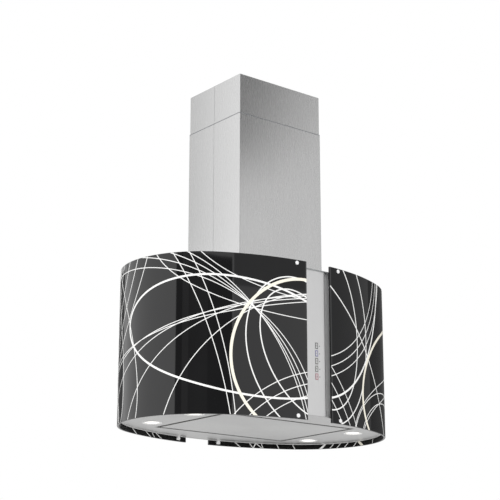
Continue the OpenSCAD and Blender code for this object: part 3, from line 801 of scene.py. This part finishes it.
def build_key(name):
    """A cap with round corners, its flange and stem, an inlaid outline and a printed icon."""
    low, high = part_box(name)
    centre = (low + high) / 2
    width = high.x - low.x - 2 * KEY_FLANGE
    height = high.z - low.z - 2 * KEY_FLANGE

    def ring(inset, depth, corner):
        points = ring_points(width - 2 * inset, height - 2 * inset, corner)
        return [(centre.x + p.x, low.y + depth, centre.z + p.y) for p in points]

    bm = bmesh.new()
    front = [ring(inset * MM, depth * MM, corner * MM) for inset, depth, corner in KEY_FRONT]
    skin(bm, front + [ring(0, KEY_CAP_DEPTH, KEY_CORNER)])
    skin(bm, [ring(-KEY_FLANGE, KEY_CAP_DEPTH, KEY_CORNER),
              ring(-KEY_FLANGE, KEY_CAP_DEPTH + KEY_FLANGE_T, KEY_CORNER)])
    stem = circle_points(KEY_STEM_RADIUS)
    skin(bm, [[(centre.x + p.x, y, centre.z + p.y) for p in stem] for y in (low.y + KEY_CAP_DEPTH, high.y)])
    flat = bmesh.new()
    outline = ring_points(width - OUTLINE_LESS, height - OUTLINE_LESS, OUTLINE_CORNER)
    strip(flat, outline, OUTLINE_WIDTH, KEY_PRINT_LIFT, 1, True)
    for points, closed in ICONS[name]:
        strip(flat, [point * MM for point in points], ICON_WIDTH, KEY_PRINT_LIFT, 2, closed)
    for vert in flat.verts:
        across, upwards, lift = vert.co
        vert.co = Vector((centre.x + across, low.y - lift, centre.z + upwards))
    pour(flat, bm)
    tint = enamel(name + "_tint", KEY_TINTS[name])
    icon = enamel(name + "_icon", ICON_COLOUR)
    key = finish_mesh(name + "_cap", bm, [LOOKS["key_steel"], tint, icon], smooth=False)
    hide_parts(name)
    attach(key, name)


for key_name in ICONS:
    build_key(key_name)

# ---------- flue ----------

# The dark strip's section, which paints the shadow line at the flue seam: its height, the height where its
# outer face starts to slope in, how far that face and its top edge lie inside the flue's face, and its play
# on the upper flue.
SHADOW_STRIP_HEIGHT = 2.4 * MM
SHADOW_STRIP_STRAIGHT = 0.7 * SHADOW_STRIP_HEIGHT
SHADOW_STRIP_INSET = 0.15 * MM
SHADOW_STRIP_TOP_INSET = 0.5 * MM
SHADOW_STRIP_PLAY = 0.1 * MM
SHADOW_STRIP_CORNER = 2 * MM


def build_seam_shadow_strip():
    """A thin dark strip on the lower flue's top edge: painted shadow, standing for the shade line at the
    seam with the upper flue.
    """
    low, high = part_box("lower_flue_front")
    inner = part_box("upper_flue_front")[1].x + SHADOW_STRIP_PLAY
    outer = high.x - SHADOW_STRIP_INSET
    rings = []
    for x, up in ((outer, 0), (outer, SHADOW_STRIP_STRAIGHT), (high.x - SHADOW_STRIP_TOP_INSET, SHADOW_STRIP_HEIGHT),
                  (inner, SHADOW_STRIP_HEIGHT), (inner, 0)):
        y = x - high.x - low.y
        rings.append([(p.x, p.y, high.z + up) for p in ring_points(2 * x, 2 * y, SHADOW_STRIP_CORNER)])
    bm = bmesh.new()
    skin(bm, rings, closed=True)
    # The strip is dark grey plastic: painted shadow for the shade line at the flue seam.
    shadow_strip = finish_mesh("flue_seam_shadow_strip", bm, [LOOKS["grey_plastic"]], smooth=False)
    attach(shadow_strip, "lower_flue")


build_seam_shadow_strip()

# ---------- grease filter mesh ----------

STRAND_PITCH = 9 * MM
STRAND_STEP = 4.5 * MM
STRAND_HALF = 0.45 * MM
STRAND_WAVE = 0.8 * MM
# The bare space inside a filter's frame, at the sides and at the front and rear.
SIDE_MARGIN = 5 * MM
END_MARGIN = 1 * MM
# The height of each layer as a share of the mesh's thickness, which is also how far its strands are
# moved along, as a share of their pitch.
LAYERS = (0.3, 0.7)


def strand_rings(x_start, y_start, z, first, last, slope):
    """The square rings of one strand, which runs at 45 degrees and waves up and down."""
    count = int((last - first) / STRAND_STEP)
    rings = []
    for i in range(count + 1):
        run = first + (last - first) * i / count
        x = x_start + slope * run
        middle = z + slope * STRAND_WAVE * math.cos(2 * math.pi * run / STRAND_PITCH)
        rings.append([(x + dx * STRAND_HALF, y_start + run, middle + dz * STRAND_HALF)
                      for dx, dz in ((-1, -1), (1, -1), (1, 1), (-1, 1))])
    return rings


def weave(bm, x0, x1, y0, y1, z, slope, shift):
    """The strands of one layer that slope one way, moved along by a share of their pitch."""
    start = y0 - (x1 - x0)
    for k in range(int((y1 - start) / STRAND_PITCH)):
        y_start = start + (k + shift) * STRAND_PITCH
        first = max(0, y0 - y_start)
        last = min(x1 - x0, y1 - y_start)
        if last - first >= 2 * STRAND_STEP:
            skin(bm, strand_rings(x0 if slope > 0 else x1, y_start, z, first, last, slope))


def build_filter_meshes():
    """Two layers of woven aluminium strands inside each filter's frame."""
    low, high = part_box("filter_meshes")
    bm = bmesh.new()
    for filter_name in ("filter_frame_left", "filter_frame_right"):
        frame_low, frame_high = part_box(filter_name)
        x0, x1 = frame_low.x + SIDE_MARGIN, frame_high.x - SIDE_MARGIN
        for slope in (-1, 1):
            for level in LAYERS:
                z = low.z + level * (high.z - low.z)
                weave(bm, x0, x1, low.y + END_MARGIN, high.y - END_MARGIN, z, slope, level)
    lattice = finish_mesh("filter_lattice", bm, [LOOKS["filter_mesh"]])
    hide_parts("filter_meshes")
    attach(lattice, "root")


build_filter_meshes()

# ---------- finishes and softened edges on the CAD nodes ----------

# The width of the softened edges of each look, in millimetres. The other looks keep sharp edges.
EDGE_WIDTHS = {
    "brushed_tray": 0.3, "brushed_flue": 0.25, "brushed_pillar": 0.3, "galvanised": 0.25, "zinc_steel": 0.3,
    "filter_metal": 0.5, "black_plastic": 0.5, "grey_plastic": 0.4, "lamp_black": 0.4, "polished_cap": 0.25,
}
WELD_DISTANCE = 0.005 * MM
# Faces that meet at less than this angle, in degrees, become one flat.
FLAT_ANGLE = 0.5


def dress(node, look):
    """Gives a CAD node its material, and softens its edges where that look has them soft."""
    for material_slot in node.material_slots:
        material_slot.material = LOOKS[look]
    if look in EDGE_WIDTHS:
        weld = node.modifiers.new("weld", "WELD")
        weld.merge_threshold = WELD_DISTANCE
        flats = node.modifiers.new("whole_flats", "DECIMATE")
        flats.decimate_type = "DISSOLVE"
        flats.angle_limit = math.radians(FLAT_ANGLE)
        soften(node, EDGE_WIDTHS[look] * MM, segments=2, angle=40)


look_of = {part["node"]: part["material_slot"] for part in frame["record"]["subparts"]}
for node_name, cad_node in frame["nodes"].items():
    dress(cad_node, look_of[node_name])
